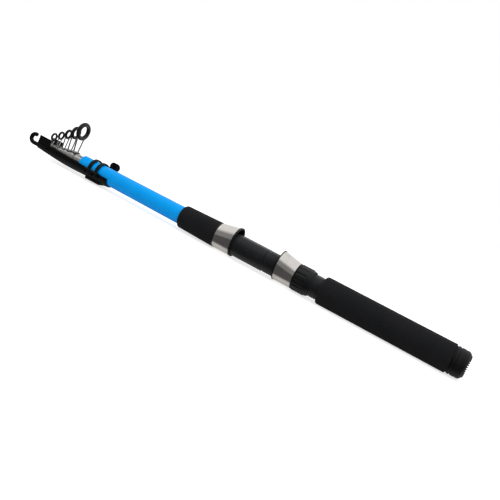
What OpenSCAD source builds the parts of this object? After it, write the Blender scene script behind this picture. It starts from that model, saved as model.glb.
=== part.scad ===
// Telescopic rod, closed for carrying, with its tip cover strapped on.
// The rod axis lies along X, with the middle of the rear grip at the origin, the tip toward -X
// and the guides up.

/* [Handle] */
// diameter of the rear grip
grip_d = 26; // [25:0.5:30]
// length of the rear grip
grip_len = 120; // [100:1:180]
// length of the butt cap behind the grip
cap_len = 13.8; // [13.4:0.2:18]
// diameter of the butt cap
cap_d = 24.6; // [23:0.2:28]
// slope at the end of the butt cap, across its radius
cap_slope = 3.2; // [2.4:0.1:3.4]
// teeth round the end of the butt cap
cap_teeth = 30; // [20:1:40]
// rear diameter of the foregrip
fore_d = 24.4; // [23.6:0.2:26]
// front diameter of the foregrip
fore_tip_d = 22.4; // [21.6:0.2:23.4]
// length of the foregrip
fore_len = 40.5; // [30:0.5:80]
// rounding of the grip edges
grip_edge = 2.4; // [1:0.1:3]

/* [Reel seat] */
// wall of the reel seat tube
seat_wall = 1.5; // [1.3:0.1:2]
// thickness of the bushings under the seat tube
arbor_t = 0.5; // [0.4:0.1:1]
// pitch of the seat thread
thread_pitch = 2; // [1.5:0.1:2.5]
// depth of the seat thread
thread_depth = 0.5; // [0.3:0.05:0.6]
// length of the seat thread
thread_len = 56; // [50:1:60]
// thread left bare between the rear grip and the locking nut
thread_bare = 9.6; // [6:0.2:12]
// length of the locking nut
nut_len = 14.8; // [12:0.2:16]
// wall of the locking nut
nut_wall = 1.3; // [1.1:0.1:2]
// flutes round the locking nut
nut_flutes = 14; // [8:1:18]
// length of each hood
hood_len = 17.5; // [17:0.5:20]
// clear seat length between the two hood mouths
foot_gap = 46.5; // [42:0.5:60]
// lift of the hood mouth toward the reel foot
hood_lift = 2.8; // [2.4:0.1:3.5]
// sheet thickness of the hoods
hood_t = 0.5; // [0.4:0.05:0.7]
// height of the land that the reel foot lies on, above the flat beside it
land_step = 0.1; // [0.05:0.05:0.15]
// running clearance of the hood and the nut on the seat tube
seat_gap = 0.3; // [0.25:0.05:0.4]

/* [Blank] */
// diameter of the butt section under the handle
blank_d = 17.6; // [17.2:0.1:18.4]
// diameter of the butt section at its mouth
mouth_d = 16.4; // [16:0.1:16.8]
// wall of the butt section
blank_wall = 0.9; // [0.8:0.05:1]
// length of the butt section in front of the foregrip
blank_bare = 126; // [118:1:180]
// clearance between one section and the mouth that it runs through
section_gap = 0.15; // [0.12:0.01:0.2]
// tip diameter of the second section
tip_first = 12.6; // [12.2:0.1:12.8]
// tip diameter of the last section
tip_last = 1.8; // [1.6:0.1:2]
// how far the second section stands out of the butt section
tip_out = 17.7; // [16:0.1:22]
// spacing of the section tips when closed
tip_step = 7.9; // [7.7:0.1:10]

/* [Guides] */
// length of the collar that holds each guide
collar_len = 7; // [6:0.1:7.2]
// height of the largest guide ring above the rod axis
ring_high = 29; // [28:0.1:32]
// height of the tip ring above the rod axis
ring_low = 10.2; // [9.6:0.1:11.4]
// outer diameter of the largest guide ring
ring_first = 19; // [17:0.2:22]
// outer diameter of the tip ring
ring_last = 9; // [8.6:0.1:10]
// thickness of the largest guide ring
bar_first = 4.4; // [3.6:0.1:4.8]
// thickness of the tip ring
bar_last = 2.2; // [1.8:0.1:2.4]
// wire of the largest guide frame
wire_first = 1.6; // [1.3:0.1:1.7]
// wire of the tip frame
wire_last = 1.1; // [0.9:0.1:1.2]

/* [Tip cover] */
// length of the cover trough
cover_len = 93; // [90:1:105]
// part of the cover that lies along the butt section
cover_back = 38.5; // [37:0.5:42]
// clearance between the trough and the butt section
cover_gap = 0.45; // [0.4:0.05:0.7]
// wall of the trough along the butt section
cover_wall = 1.2; // [1:0.1:1.6]
// depth that the belly of the trough adds
belly = 0.4; // [0.2:0.1:0.8]
// height of the trough rim at its rear end, from the rod axis
rim_back = -1.4; // [-1.8:0.1:-1]
// height of the trough rim at its nose, from the rod axis
rim_nose = 2; // [1.4:0.1:2.2]
// height of the nose cheeks above the rod axis
cheek_top = 7.3; // [6:0.1:8]
// length of the nose cheeks
cheek_len = 15; // [12:0.5:18]
// thickness of the nose hook
hook_d = 4.2; // [3.6:0.1:4.4]
// radius of the nose hook at the middle of its bar
hook_r = 4.4; // [4.3:0.1:5.2]
// width of each strap band
band_w = 3.6; // [3:0.1:4]
// spacing of the two strap bands
band_step = 9; // [8.8:0.1:10]
// thickness of the strap
strap_t = 1.4; // [1.2:0.1:1.6]
// length of the pull tab along the rod
tab_len = 12; // [10:0.5:13]
// height of the pull tab
tab_high = 8; // [7:0.2:9]

/* [Hidden] */
$fn = 48;
grip_r = grip_d / 2;
blank_r = blank_d / 2;
mouth_r = mouth_d / 2;
bore_r = blank_r - blank_wall;
part_gap = 0.2;
cap_s1 = cap_len - part_gap;
cap_r = cap_d / 2;
grip_s1 = cap_len + grip_len;
origin_s = cap_len + (grip_len - grip_edge) / 2;
seat_bore = blank_r + arbor_t;
seat_r = seat_bore + seat_wall;
crest_r = seat_r - 0.2;
flat_h = seat_bore + 0.5;
slide_r = seat_r + seat_gap;
nut_s0 = grip_s1 + thread_bare;
nut_s1 = nut_s0 + nut_len;
nut_r = slide_r + nut_wall;
washer_s0 = nut_s1 + part_gap;
washer_t = 0.8;
hood_s0 = washer_s0 + washer_t;
hood_s1 = hood_s0 + hood_len;
hood_r = slide_r + 0.9;
liner_t = 0.6;
fixed_s0 = hood_s1 + foot_gap;
rim_t = 1.5;
lip_t = 0.9;
fixed_s1 = fixed_s0 + hood_len + rim_t;
check_t = 1.6;
seat_s1 = fixed_s1 + check_t;
fore_s1 = seat_s1 + fore_len;
mouth_s = fore_s1 + blank_bare;
plug_r = 6.35;
plug_s0 = 2;
plug_s1 = cap_len + 14.2;
ferrule_s1 = cap_len + 16;
seal_d = 1.5;
seal_r = plug_r + 0.3 + seal_d / 2;
seal_s = cap_len - 1.1;
rear_s = ferrule_s1 + 2;
clear_r = mouth_r - blank_wall;
cover_s0 = mouth_s - cover_back;
cover_s1 = cover_s0 + cover_len;
trough_r = blank_at(cover_s0) + cover_gap;
trough_out = trough_r + cover_wall;
foot_low = trough_out + 1.3;
band_in = 14.7;
band_a = cover_s0 + band_in;
band_b = band_a + band_step;
pin_d = 1.2;
pin_y = -(trough_r + 1.6);
pin_x = -1.6;
band_low = 2.4;
knuckle_r = 1.5;
lug_h = 3.4;
hook_y = -(collar_r(2) + 0.3 + hook_d / 2);
hook_x = 1.3;
hook_s = cover_s1 + hook_r + 1.2;
leg_y = trough_out + 0.3;
stud_s = (band_a + band_b) / 2;
stud_x = -2.2;
stud_r = 1.1;
plate_x = -3.6;
plate_h = 7.6;
block_x = 2.6;
block_h = 5;
tab_r = tab_high / 2;
tab_x = 9.8;
tab_y = trough_r + 0.9;
tab_s1 = band_a + 0.7;
tab_s0 = tab_s1 - tab_len;
cut = 2 * grip_d;
nose_low = -6.3;

// value between a and b for section k, from the second section to the last
function between(a, b, k) = a + (b - a) * (k - 2) / 4;

// outer radius of the butt section at distance s from the butt end
function blank_at(s) = s < fore_s1 ? blank_r : blank_r + (mouth_r - blank_r) * (s - fore_s1) / blank_bare;

// tip radius, wall, tip place, rear place and rear radius of section k
function tip_r(k) = between(tip_first, tip_last, k) / 2;
function wall(k) = between(0.7, 0.55, k);
function tip_s(k) = mouth_s + tip_out + (k - 2) * tip_step;
function rear_at(k) = rear_s + (k - 2) * 2;
function rear_r(k) = (k == 2 ? clear_r : tip_r(k - 1) - wall(k - 1)) - section_gap;

// sizes of guide k
function ring_h(k) = between(ring_high, ring_low, k);
function ring_r(k) = (ring_last + (ring_first - ring_last) * pow((6 - k) / 4, 2.6)) / 2;
function bar(k) = bar_last + (bar_first - bar_last) * pow((6 - k) / 4, 2);
function ring_mid(k) = ring_r(k) - bar(k) / 2;
function wire(k) = between(wire_first, wire_last, k);
function collar_r(k) = tip_r(k) + between(0.9, 0.8, k);
function guide_s(k) = tip_s(k) - collar_len / 2;

// turns the drawing frame, with Z along the rod and X toward the guides, into the part's frame
module on_rod() {
    rotate([0, -90, 0]) translate([0, 0, -origin_s]) children();
}

// solid of revolution round the rod axis
module lathe(points) {
    rotate_extrude() polygon(points);
}

// plain ring round the rod axis from s0 to s1
module ring(r_in, r_out, s0, s1) {
    lathe([[r_in, s0], [r_out, s0], [r_out, s1], [r_in, s1]]);
}

// round bar from point p to point q
module rod(p, q, d) {
    v = q - p;
    l = norm(v);
    translate(p) rotate([0, acos(v[2] / l), atan2(v[1], v[0])]) cylinder(h = l, d = d, $fn = 24);
}

// hood shape along Z, round below and lifted toward the reel foot at its mouth
module hood_form(len, grow, over) {
    tilt = atan(hood_lift / len);
    flare = 0.7;
    r0 = hood_r + grow;
    intersection() {
        translate([-cut / 2, -cut / 2, -over]) cube([cut, cut, len + 2 * over]);
        union() {
            translate([0, 0, -over]) cylinder(r = r0, h = len + 2 * over);
            rotate([0, tilt, 0]) translate([0, 0, -6])
                cylinder(r1 = r0 - flare * 6 / len, r2 = r0 + flare * (len + 6) / len, h = len + 12);
        }
    }
}

// polished sheet of a hood
module hood_sheet(len) {
    difference() {
        hood_form(len, 0, 0);
        hood_form(len, -hood_t, 1);
    }
}

// dark lining inside a hood, with a rim of length lip in front of the mouth
module hood_lining(len, lip, fit_r) {
    difference() {
        union() {
            hood_form(len, -hood_t, 0);
            intersection() {
                hood_form(len, 0.25, lip);
                translate([-cut / 2, -cut / 2, len]) cube([cut, cut, lip]);
            }
        }
        hood_form(len, -hood_t - liner_t, lip + 1);
        translate([0, 0, -1]) cylinder(r = fit_r, h = len + lip + 2);
    }
}

module butt_section() {
    color("DodgerBlue") on_rod() lathe([
        [bore_r, cap_len], [blank_r, cap_len], [blank_r, fore_s1], [mouth_r, mouth_s],
        [mouth_r - blank_wall, mouth_s], [bore_r, fore_s1]
    ]);
}

module butt_ferrule() {
    color("DimGray") on_rod() ring(plug_r + 0.3, bore_r, cap_len, ferrule_s1);
}

module rear_grip() {
    color("Black") on_rod() rotate_extrude() difference() {
        union() {
            translate([0, cap_len]) square([grip_r, grip_len - grip_edge]);
            translate([0, cap_len]) square([grip_r - grip_edge, grip_len]);
            translate([grip_r - grip_edge, grip_s1 - grip_edge]) circle(r = grip_edge);
        }
        translate([-1, cap_len - 1]) square([blank_r + 1, grip_len + 2]);
        translate([-2 * grip_r, cap_len - 1]) square([2 * grip_r, grip_len + 2]);
    }
}

module seat_arbors() {
    color("BurlyWood") on_rod() {
        ring(blank_r, seat_bore, grip_s1 + 4, grip_s1 + 30);
        ring(blank_r, seat_bore, seat_s1 - 40, seat_s1 - 8);
    }
}

module reel_seat_tube() {
    turns = floor(thread_len / thread_pitch);
    thread_s1 = grip_s1 + 0.4 + turns * thread_pitch;
    ridges = [
        for (i = [0 : turns - 1]) each [
            [crest_r - thread_depth, grip_s1 + 0.4 + i * thread_pitch],
            [crest_r, grip_s1 + 0.4 + (i + 0.35) * thread_pitch],
            [crest_r, grip_s1 + 0.4 + (i + 0.65) * thread_pitch]
        ]
    ];
    color("DarkSlateGray") on_rod() difference() {
        lathe(concat(
            [[seat_bore, grip_s1], [crest_r - thread_depth, grip_s1]],
            ridges,
            [
                [crest_r - thread_depth, thread_s1], [seat_r, thread_s1 + 0.6], [seat_r, seat_s1],
                [seat_bore, seat_s1]
            ]
        ));
        translate([flat_h, -grip_r, grip_s1 - 1]) cube([grip_r, grip_d, seat_s1 - grip_s1 + 2]);
        difference() {
            translate([flat_h - land_step, -grip_r, grip_s1 - 1])
                cube([grip_r, grip_d, seat_s1 - grip_s1 + 2]);
            translate([0, -grip_d, hood_s1 + lip_t + part_gap])
                cube([grip_d, 2 * grip_d, foot_gap - lip_t - 2 * part_gap]);
        }
    }
}

module fixed_hood() {
    color("Silver") on_rod() translate([0, 0, fixed_s1]) mirror([0, 0, 1]) hood_sheet(hood_len);
}

module fixed_hood_liner() {
    color("Black") on_rod() translate([0, 0, fixed_s1]) mirror([0, 0, 1])
        hood_lining(hood_len, rim_t, seat_r);
}

module seat_check() {
    color("Black") on_rod() ring(seat_r, hood_r + 0.2, fixed_s1, seat_s1);
}

module foregrip() {
    r0 = fore_d / 2;
    r1 = fore_tip_d / 2;
    color("Black") on_rod() rotate_extrude() difference() {
        union() {
            polygon([[0, seat_s1], [r0, seat_s1], [r1, fore_s1 - grip_edge], [0, fore_s1 - grip_edge]]);
            translate([0, seat_s1]) square([r1 - grip_edge, fore_len]);
            translate([r1 - grip_edge, fore_s1 - grip_edge]) circle(r = grip_edge);
        }
        translate([-cut, seat_s1 - 1]) square([cut + blank_r, fore_len + 2]);
    }
}

module cap_seal() {
    color("Black") on_rod() translate([0, 0, seal_s])
        rotate_extrude() translate([seal_r, 0]) circle(d = seal_d);
}

// plug with its flange, as it sits in the butt cap
module plug_form() {
    cylinder(r = plug_r, h = plug_s1 - plug_s0);
    cylinder(r = plug_r + 2.4, h = 3);
}

module butt_cap() {
    color("Black") on_rod() difference() {
        lathe([
            [0, 0.8], [cap_r - cap_slope - 1.1, 0.8], [cap_r - cap_slope - 0.6, 0], [cap_r - cap_slope, 0],
            [cap_r - 0.7, 2.2], [cap_r - 0.1, 3.4],
            [cap_r, cap_s1 - 4.2], [cap_r - 0.5, cap_s1 - 3.8], [cap_r - 0.5, cap_s1 - 3.2],
            [cap_r + 0.1, cap_s1 - 2.8], [cap_r + 0.1, cap_s1 - 1.4], [cap_r - 0.5, cap_s1 - 0.8],
            [cap_r - 0.5, cap_s1], [0, cap_s1]
        ]);
        for (i = [0 : cap_teeth - 1]) {
            rotate([0, 0, i * 360 / cap_teeth]) translate([cap_r - cap_slope - 1.4, -0.45, -1])
                cube([grip_r, 0.9, 2.4]);
        }
        translate([0, 0, plug_s0]) plug_form();
        translate([0, 0, seal_s - seal_d / 2 - 0.3]) cylinder(r = seal_r + seal_d / 2 + 0.3, h = 10);
    }
}

module butt_plug() {
    color("DimGray") on_rod() translate([0, 0, plug_s0]) plug_form();
}

module moving_hood() {
    color("Silver") on_rod() translate([0, 0, hood_s0]) hood_sheet(hood_len);
}

module moving_hood_liner() {
    color("Black") on_rod() translate([0, 0, hood_s0]) hood_lining(hood_len, lip_t, slide_r);
}

module slip_washer() {
    color("Black") on_rod() ring(slide_r, hood_r, washer_s0, hood_s0);
}

module locking_nut() {
    color("DarkSlateGray") on_rod() difference() {
        lathe([
            [slide_r, nut_s0], [nut_r - 1, nut_s0], [nut_r - 0.5, nut_s0 + 2.4], [nut_r, nut_s0 + 3.2],
            [nut_r, nut_s1 - 0.6], [nut_r - 0.5, nut_s1], [slide_r, nut_s1]
        ]);
        for (i = [0 : nut_flutes - 1]) {
            rotate([0, 0, (i + 0.5) * 360 / nut_flutes]) translate([nut_r + 0.7, 0, nut_s0 + 4])
                cylinder(r = 1.2, h = nut_len);
        }
    }
}

// outer cone of section k, longer at the tip by over
module section_cone(k, over) {
    fall = (rear_r(k) - tip_r(k)) / (tip_s(k) - rear_at(k));
    translate([0, 0, rear_at(k)])
        cylinder(r1 = rear_r(k), r2 = tip_r(k) - fall * over, h = tip_s(k) - rear_at(k) + over);
}

module section(k) {
    on_rod() difference() {
        section_cone(k, 0);
        if (k < 6) {
            h = tip_s(k) - rear_at(k) + 0.02;
            translate([0, 0, rear_at(k) - 0.01])
                cylinder(r1 = rear_r(k) - wall(k), r2 = tip_r(k) - wall(k), h = h);
        }
    }
}

module section_2() {
    color("Silver") section(2);
}

module section_3() {
    color("Silver") section(3);
}

module section_4() {
    color("Silver") section(4);
}

module section_5() {
    color("Silver") section(5);
}

module section_6() {
    color("Silver") section(6);
}

// two wire legs of guide k, from its ring down to feet that lie in the collar
module guide_wires(k) {
    lean = 28;
    for (side = [-1, 1]) {
        top = [ring_h(k) - ring_mid(k) * cos(50), side * ring_mid(k) * sin(50), guide_s(k)];
        low = [collar_r(k) * cos(lean), side * collar_r(k) * sin(lean), guide_s(k)];
        rod(top, low, wire(k));
        rod(low - [0, 0, 2.6], low + [0, 0, 2.6], wire(k));
        translate(low) sphere(d = 1.3 * wire(k), $fn = 24);
    }
}

// ring of guide k
module ring_form(k) {
    translate([ring_h(k), 0, guide_s(k)])
        rotate_extrude() translate([ring_mid(k), 0]) circle(d = bar(k));
}

module guide_frame(k) {
    color("Silver") on_rod() difference() {
        guide_wires(k);
        ring_form(k);
        section_cone(k, 1);
    }
}

module guide_ring(k) {
    color("Black") on_rod() ring_form(k);
}

module collar(k) {
    color("DarkGray") on_rod() difference() {
        translate([0, 0, tip_s(k) - collar_len]) cylinder(r = collar_r(k), h = collar_len);
        section_cone(k, 1);
        guide_wires(k);
    }
}

module collar_2() {
    collar(2);
}

module collar_3() {
    collar(3);
}

module collar_4() {
    collar(4);
}

module collar_5() {
    collar(5);
}

module tip_sleeve() {
    collar(6);
}

module guide_frame_2() {
    guide_frame(2);
}

module guide_frame_3() {
    guide_frame(3);
}

module guide_frame_4() {
    guide_frame(4);
}

module guide_frame_5() {
    guide_frame(5);
}

module tip_frame() {
    guide_frame(6);
}

module guide_ring_2() {
    guide_ring(2);
}

module guide_ring_3() {
    guide_ring(3);
}

module guide_ring_4() {
    guide_ring(4);
}

module guide_ring_5() {
    guide_ring(5);
}

module tip_ring() {
    guide_ring(6);
}

// outer form of the cover trough, before it is hollowed
module trough_form() {
    step_s = cover_s0 + 27;
    full_s = step_s + 18;
    deep_r = trough_out + belly;
    lathe([
        [0, cover_s0], [trough_out - 0.4, cover_s0], [trough_out, cover_s0 + 3], [trough_out, step_s],
        [deep_r, full_s], [deep_r, cover_s1 - 30], [trough_out + 0.3, cover_s1], [0, cover_s1]
    ]);
    translate([-foot_low, -6, cover_s0 + 9]) cube([foot_low, 12, 18]);
}

// upright cheeks beside the tip, at the nose of the trough
module nose_cheeks() {
    for (side = [-1, 1]) {
        translate([-1, side * (trough_r + cover_wall / 2) - cover_wall / 2, cover_s1 - cheek_len])
            cube([cheek_top + 1, cover_wall, cheek_len]);
    }
}

// keeps what lies below the slanting rim and above the rising nose
module trough_cut() {
    drop = atan((rim_nose - rim_back) / cover_len);
    rise = 5.7;
    translate([rim_back, 0, cover_s0]) rotate([0, drop, 0])
        translate([0, -cut / 2, -cut]) cube([cut, cut, cover_len + 2 * cut]);
    translate([nose_low, 0, cover_s1]) rotate([0, rise, 0])
        translate([-cut, -cut / 2, -2 * cut]) cube([cut, cut, 3 * cut]);
}

// nose hook, a bar that leaves the near wall and curls back toward the rod
module nose_hook() {
    low = hook_x - hook_r;
    root_len = 12;
    root_d = 2.4;
    translate([hook_x, hook_y, hook_s]) rotate([90, 0, 0])
        rotate_extrude(angle = 180) translate([hook_r, 0]) circle(d = hook_d);
    translate([low, hook_y, cover_s1 - root_len]) cylinder(d1 = root_d, d2 = hook_d, h = root_len);
    rod([low, hook_y, cover_s1], [low, hook_y, hook_s], hook_d);
    rod([hook_x + hook_r, hook_y, hook_s - 1.2], [hook_x + hook_r, hook_y, hook_s], hook_d);
}

// barrel round the strap pin over the length from s0 to s1
module pin_barrel(r, s0, s1) {
    translate([pin_x, pin_y, s0]) cylinder(r = r, h = s1 - s0, $fn = 32);
}

// pin lug of the cover from s0 to s1
module pin_lug(s0, s1) {
    difference() {
        union() {
            pin_barrel(knuckle_r, s0, s1);
            translate([pin_x - lug_h, pin_y - knuckle_r, s0]) cube([lug_h, 2 * knuckle_r, s1 - s0]);
        }
        pin_barrel(pin_d / 2, s0 - 1, s1 + 1);
        translate([0, 0, s0 - 1]) cylinder(r = trough_r, h = s1 - s0 + 2);
    }
}

// notch in the near wall for the strap loop at distance s, open to the rim
module band_notch(s, room) {
    notch_r = knuckle_r + 0.4;
    pin_barrel(notch_r, s - room, s + room);
    translate([pin_x, pin_y - notch_r, s - room]) cube([2 * notch_r, 2 * notch_r, 2 * room]);
}

module tip_cover() {
    room = band_w / 2 + 0.3;
    color("Black") on_rod() difference() {
        union() {
            difference() {
                trough_form();
                translate([0, 0, cover_s0 - 1]) cylinder(r = trough_r, h = cover_len + 2);
                trough_cut();
                band_notch(band_a, room);
                band_notch(band_b, room);
            }
            nose_cheeks();
            pin_lug(band_a - room - 2, band_a - room);
            pin_lug(band_a + room, band_b - room);
            pin_lug(band_b + room, band_b + room + 2);
            nose_hook();
        }
        pin_barrel(pin_d / 2, band_a - 10, band_b + 10);
        translate([stud_x, 0, stud_s]) rotate([-90, 0, 0]) cylinder(r = stud_r, h = cut);
    }
}

module strap_pin() {
    room = band_w / 2 + 2.3;
    color("DimGray") on_rod() pin_barrel(pin_d / 2, band_a - room, band_b + room);
}

module strap_stud() {
    color("Black") on_rod() difference() {
        translate([stud_x, 0, stud_s]) rotate([-90, 0, 0]) union() {
            cylinder(r = stud_r, h = leg_y + strap_t + 0.4);
            translate([0, 0, leg_y + strap_t + 0.4]) cylinder(r = stud_r + 1.2, h = 1);
        }
        translate([0, 0, stud_s - 20]) cylinder(r = trough_r, h = 40);
    }
}

// strap band over the butt section at distance s
module strap_band(s) {
    difference() {
        union() {
            intersection() {
                translate([0, 0, s - band_w / 2]) cylinder(r = trough_r + strap_t, h = band_w);
                union() {
                    translate([pin_x, -cut, s - band_w]) cube([cut, cut, 2 * band_w]);
                    translate([band_low, 0, s - band_w]) cube([cut, cut, 2 * band_w]);
                }
            }
            pin_barrel(knuckle_r, s - band_w / 2, s + band_w / 2);
        }
        translate([0, 0, s - band_w]) cylinder(r = trough_r, h = 2 * band_w);
        pin_barrel(pin_d / 2 + 0.15, s - band_w, s + band_w);
    }
}

module cover_strap() {
    s0 = band_a - band_w / 2;
    s1 = band_b + band_w / 2;
    color("Black") on_rod() difference() {
        union() {
            strap_band(band_a);
            strap_band(band_b);
            translate([plate_x, leg_y, s0]) cube([plate_h, strap_t, s1 - s0]);
            translate([block_x, trough_r + 0.4, s0])
                cube([block_h, leg_y + strap_t - trough_r - 0.4, s1 - s0]);
            translate([block_x, tab_y, tab_s0 + tab_r]) cube([block_h, strap_t, s0 + 2 - tab_s0 - tab_r]);
            translate([tab_x - tab_r, tab_y, tab_s0 + tab_r]) cube([tab_high, strap_t, tab_len - tab_high]);
            for (s = [tab_s0 + tab_r, tab_s1 - tab_r]) {
                translate([tab_x, tab_y, s]) rotate([-90, 0, 0]) cylinder(r = tab_r, h = strap_t);
            }
        }
        translate([stud_x, leg_y - 1, stud_s]) rotate([-90, 0, 0]) cylinder(r = stud_r + 0.4, h = cut);
        translate([stud_x - cut, leg_y - 1, stud_s - stud_r - 0.4]) cube([cut, cut, 2 * stud_r + 0.8]);
    }
}

butt_section();
butt_ferrule();
rear_grip();
seat_arbors();
reel_seat_tube();
fixed_hood();
fixed_hood_liner();
seat_check();
foregrip();
cap_seal();
butt_cap();
butt_plug();
moving_hood();
moving_hood_liner();
slip_washer();
locking_nut();
section_2();
section_3();
section_4();
section_5();
section_6();
collar_2();
collar_3();
collar_4();
collar_5();
tip_sleeve();
guide_frame_2();
guide_frame_3();
guide_frame_4();
guide_frame_5();
tip_frame();
guide_ring_2();
guide_ring_3();
guide_ring_4();
guide_ring_5();
tip_ring();
tip_cover();
strap_pin();
strap_stud();
cover_strap();
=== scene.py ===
"""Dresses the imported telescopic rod: detailed pieces, finishes, studio and camera."""

import logging
import math
from dataclasses import dataclass
from enum import Enum
from typing import Any, Callable, Mapping, Optional, Sequence, Union

import bmesh
import bpy
from mathutils import Matrix, Vector, noise


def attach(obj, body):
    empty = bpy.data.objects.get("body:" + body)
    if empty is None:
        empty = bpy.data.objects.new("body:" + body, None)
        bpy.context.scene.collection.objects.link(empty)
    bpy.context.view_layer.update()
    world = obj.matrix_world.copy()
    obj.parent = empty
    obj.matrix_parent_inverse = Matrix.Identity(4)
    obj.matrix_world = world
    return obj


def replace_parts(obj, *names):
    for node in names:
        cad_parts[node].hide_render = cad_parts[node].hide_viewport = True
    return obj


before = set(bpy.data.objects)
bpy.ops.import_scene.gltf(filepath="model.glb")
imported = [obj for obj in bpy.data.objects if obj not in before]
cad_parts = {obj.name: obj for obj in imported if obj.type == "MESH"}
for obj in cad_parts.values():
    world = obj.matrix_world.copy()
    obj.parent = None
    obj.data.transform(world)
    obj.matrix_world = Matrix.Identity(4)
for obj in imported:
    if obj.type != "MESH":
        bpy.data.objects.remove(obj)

LOG = logging.getLogger("rod")
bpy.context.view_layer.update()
MM = 0.001
ORIGIN = 72.6  # mm from the butt end to the origin of the shared frame
FULL_TURN = 2.0 * math.pi
SAME_PLACE = 0.01  # mm within which two places count as one
MERGE = 1e-7  # m within which vertices are merged or cut
BEVEL_SAMPLES = 4
AXIS = (1, 0, 0)
CENTRE = (0, 0, 0)
WHITE = (1.0, 1.0, 1.0, 1.0)

Triple = tuple[float, float, float]
Colour = Triple
Span = tuple[float, float]
Socket = bpy.types.NodeSocket
Term = Union["Value", float]


class Slot(Enum):
    """Names of three material slots; the new pieces don't take their finish from them."""

    FOAM = "grip_foam"
    RUBBER = "black_rubber"
    PLASTIC = "black_plastic"


class Edge(Enum):
    """How a finished mesh is shaded, as the angle past which an edge stays sharp."""

    SOFT = 80.0
    CRISP = 35.0


def at(s: float, y: float = 0.0, z: float = 0.0) -> Vector:
    """Point of the shared frame.

    Args:
        s: Distance from the butt end along the rod, in mm.
        y: Distance to the far side, in mm.
        z: Height toward the guides, in mm.

    Returns:
        The point in metres.
    """
    return Vector(((ORIGIN - s) * MM, y * MM, z * MM))


def where(vert: bmesh.types.BMVert) -> Span:
    """Place of a vertex about the rod axis.

    Args:
        vert: The vertex.

    Returns:
        Its distance from the butt end and its radius, in mm.
    """
    return ORIGIN - vert.co.x / MM, math.hypot(vert.co.y, vert.co.z) / MM


def linked(name: str, data: Any) -> bpy.types.Object:
    """Makes an object of a mesh, camera or light and links it to the scene."""
    made = bpy.data.objects.new(name, data)
    bpy.context.scene.collection.objects.link(made)
    return made


def operator(operation: str, swapped: bool = False) -> Callable[..., "Value"]:
    """Makes a method of Value that adds one Math node.

    Args:
        operation: Name of the node's operation.
        swapped: Whether the other term comes first.

    Returns:
        The method.
    """
    def method(value: "Value", *others: Term) -> "Value":
        """Adds the Math node and gives its output."""
        return value.graph.math(operation, *((*others, value) if swapped else (value, *others)))

    return method


class Value:
    """A value socket whose arithmetic adds Math nodes to its graph."""

    def __init__(self, graph: "Graph", socket: Socket) -> None:
        """Keeps the socket and the graph that it belongs to."""
        self.graph = graph
        self.socket = socket

    __add__ = operator("ADD")
    __radd__ = operator("ADD", swapped=True)
    __sub__ = operator("SUBTRACT")
    __rsub__ = operator("SUBTRACT", swapped=True)
    __mul__ = operator("MULTIPLY")
    __rmul__ = operator("MULTIPLY", swapped=True)
    __truediv__ = operator("DIVIDE")
    __abs__ = operator("ABSOLUTE")
    larger = operator("MAXIMUM")
    root = operator("SQRT")
    sine = operator("SINE")

    def __neg__(self) -> "Value":
        """Opposite value."""
        return self * -1.0

    def step(self, low: float, high: float) -> "Value":
        """Smooth rise from 0 to 1.

        Args:
            low: Value at which the rise starts.
            high: Value at which it ends.

        Returns:
            The risen value, between 0 and 1.
        """
        inputs = {"Value": self, 1: low, 2: high}
        made = self.graph.node("ShaderNodeMapRange", inputs, interpolation_type="SMOOTHSTEP")
        return Value(self.graph, made.outputs[0])


@dataclass(frozen=True)
class Grain:
    """A noise pattern.

    Attributes:
        scale: Waves in one unit of the vector that it is read from, mostly metres.
        detail: How many finer layers it has.
    """

    scale: float
    detail: float


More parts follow.
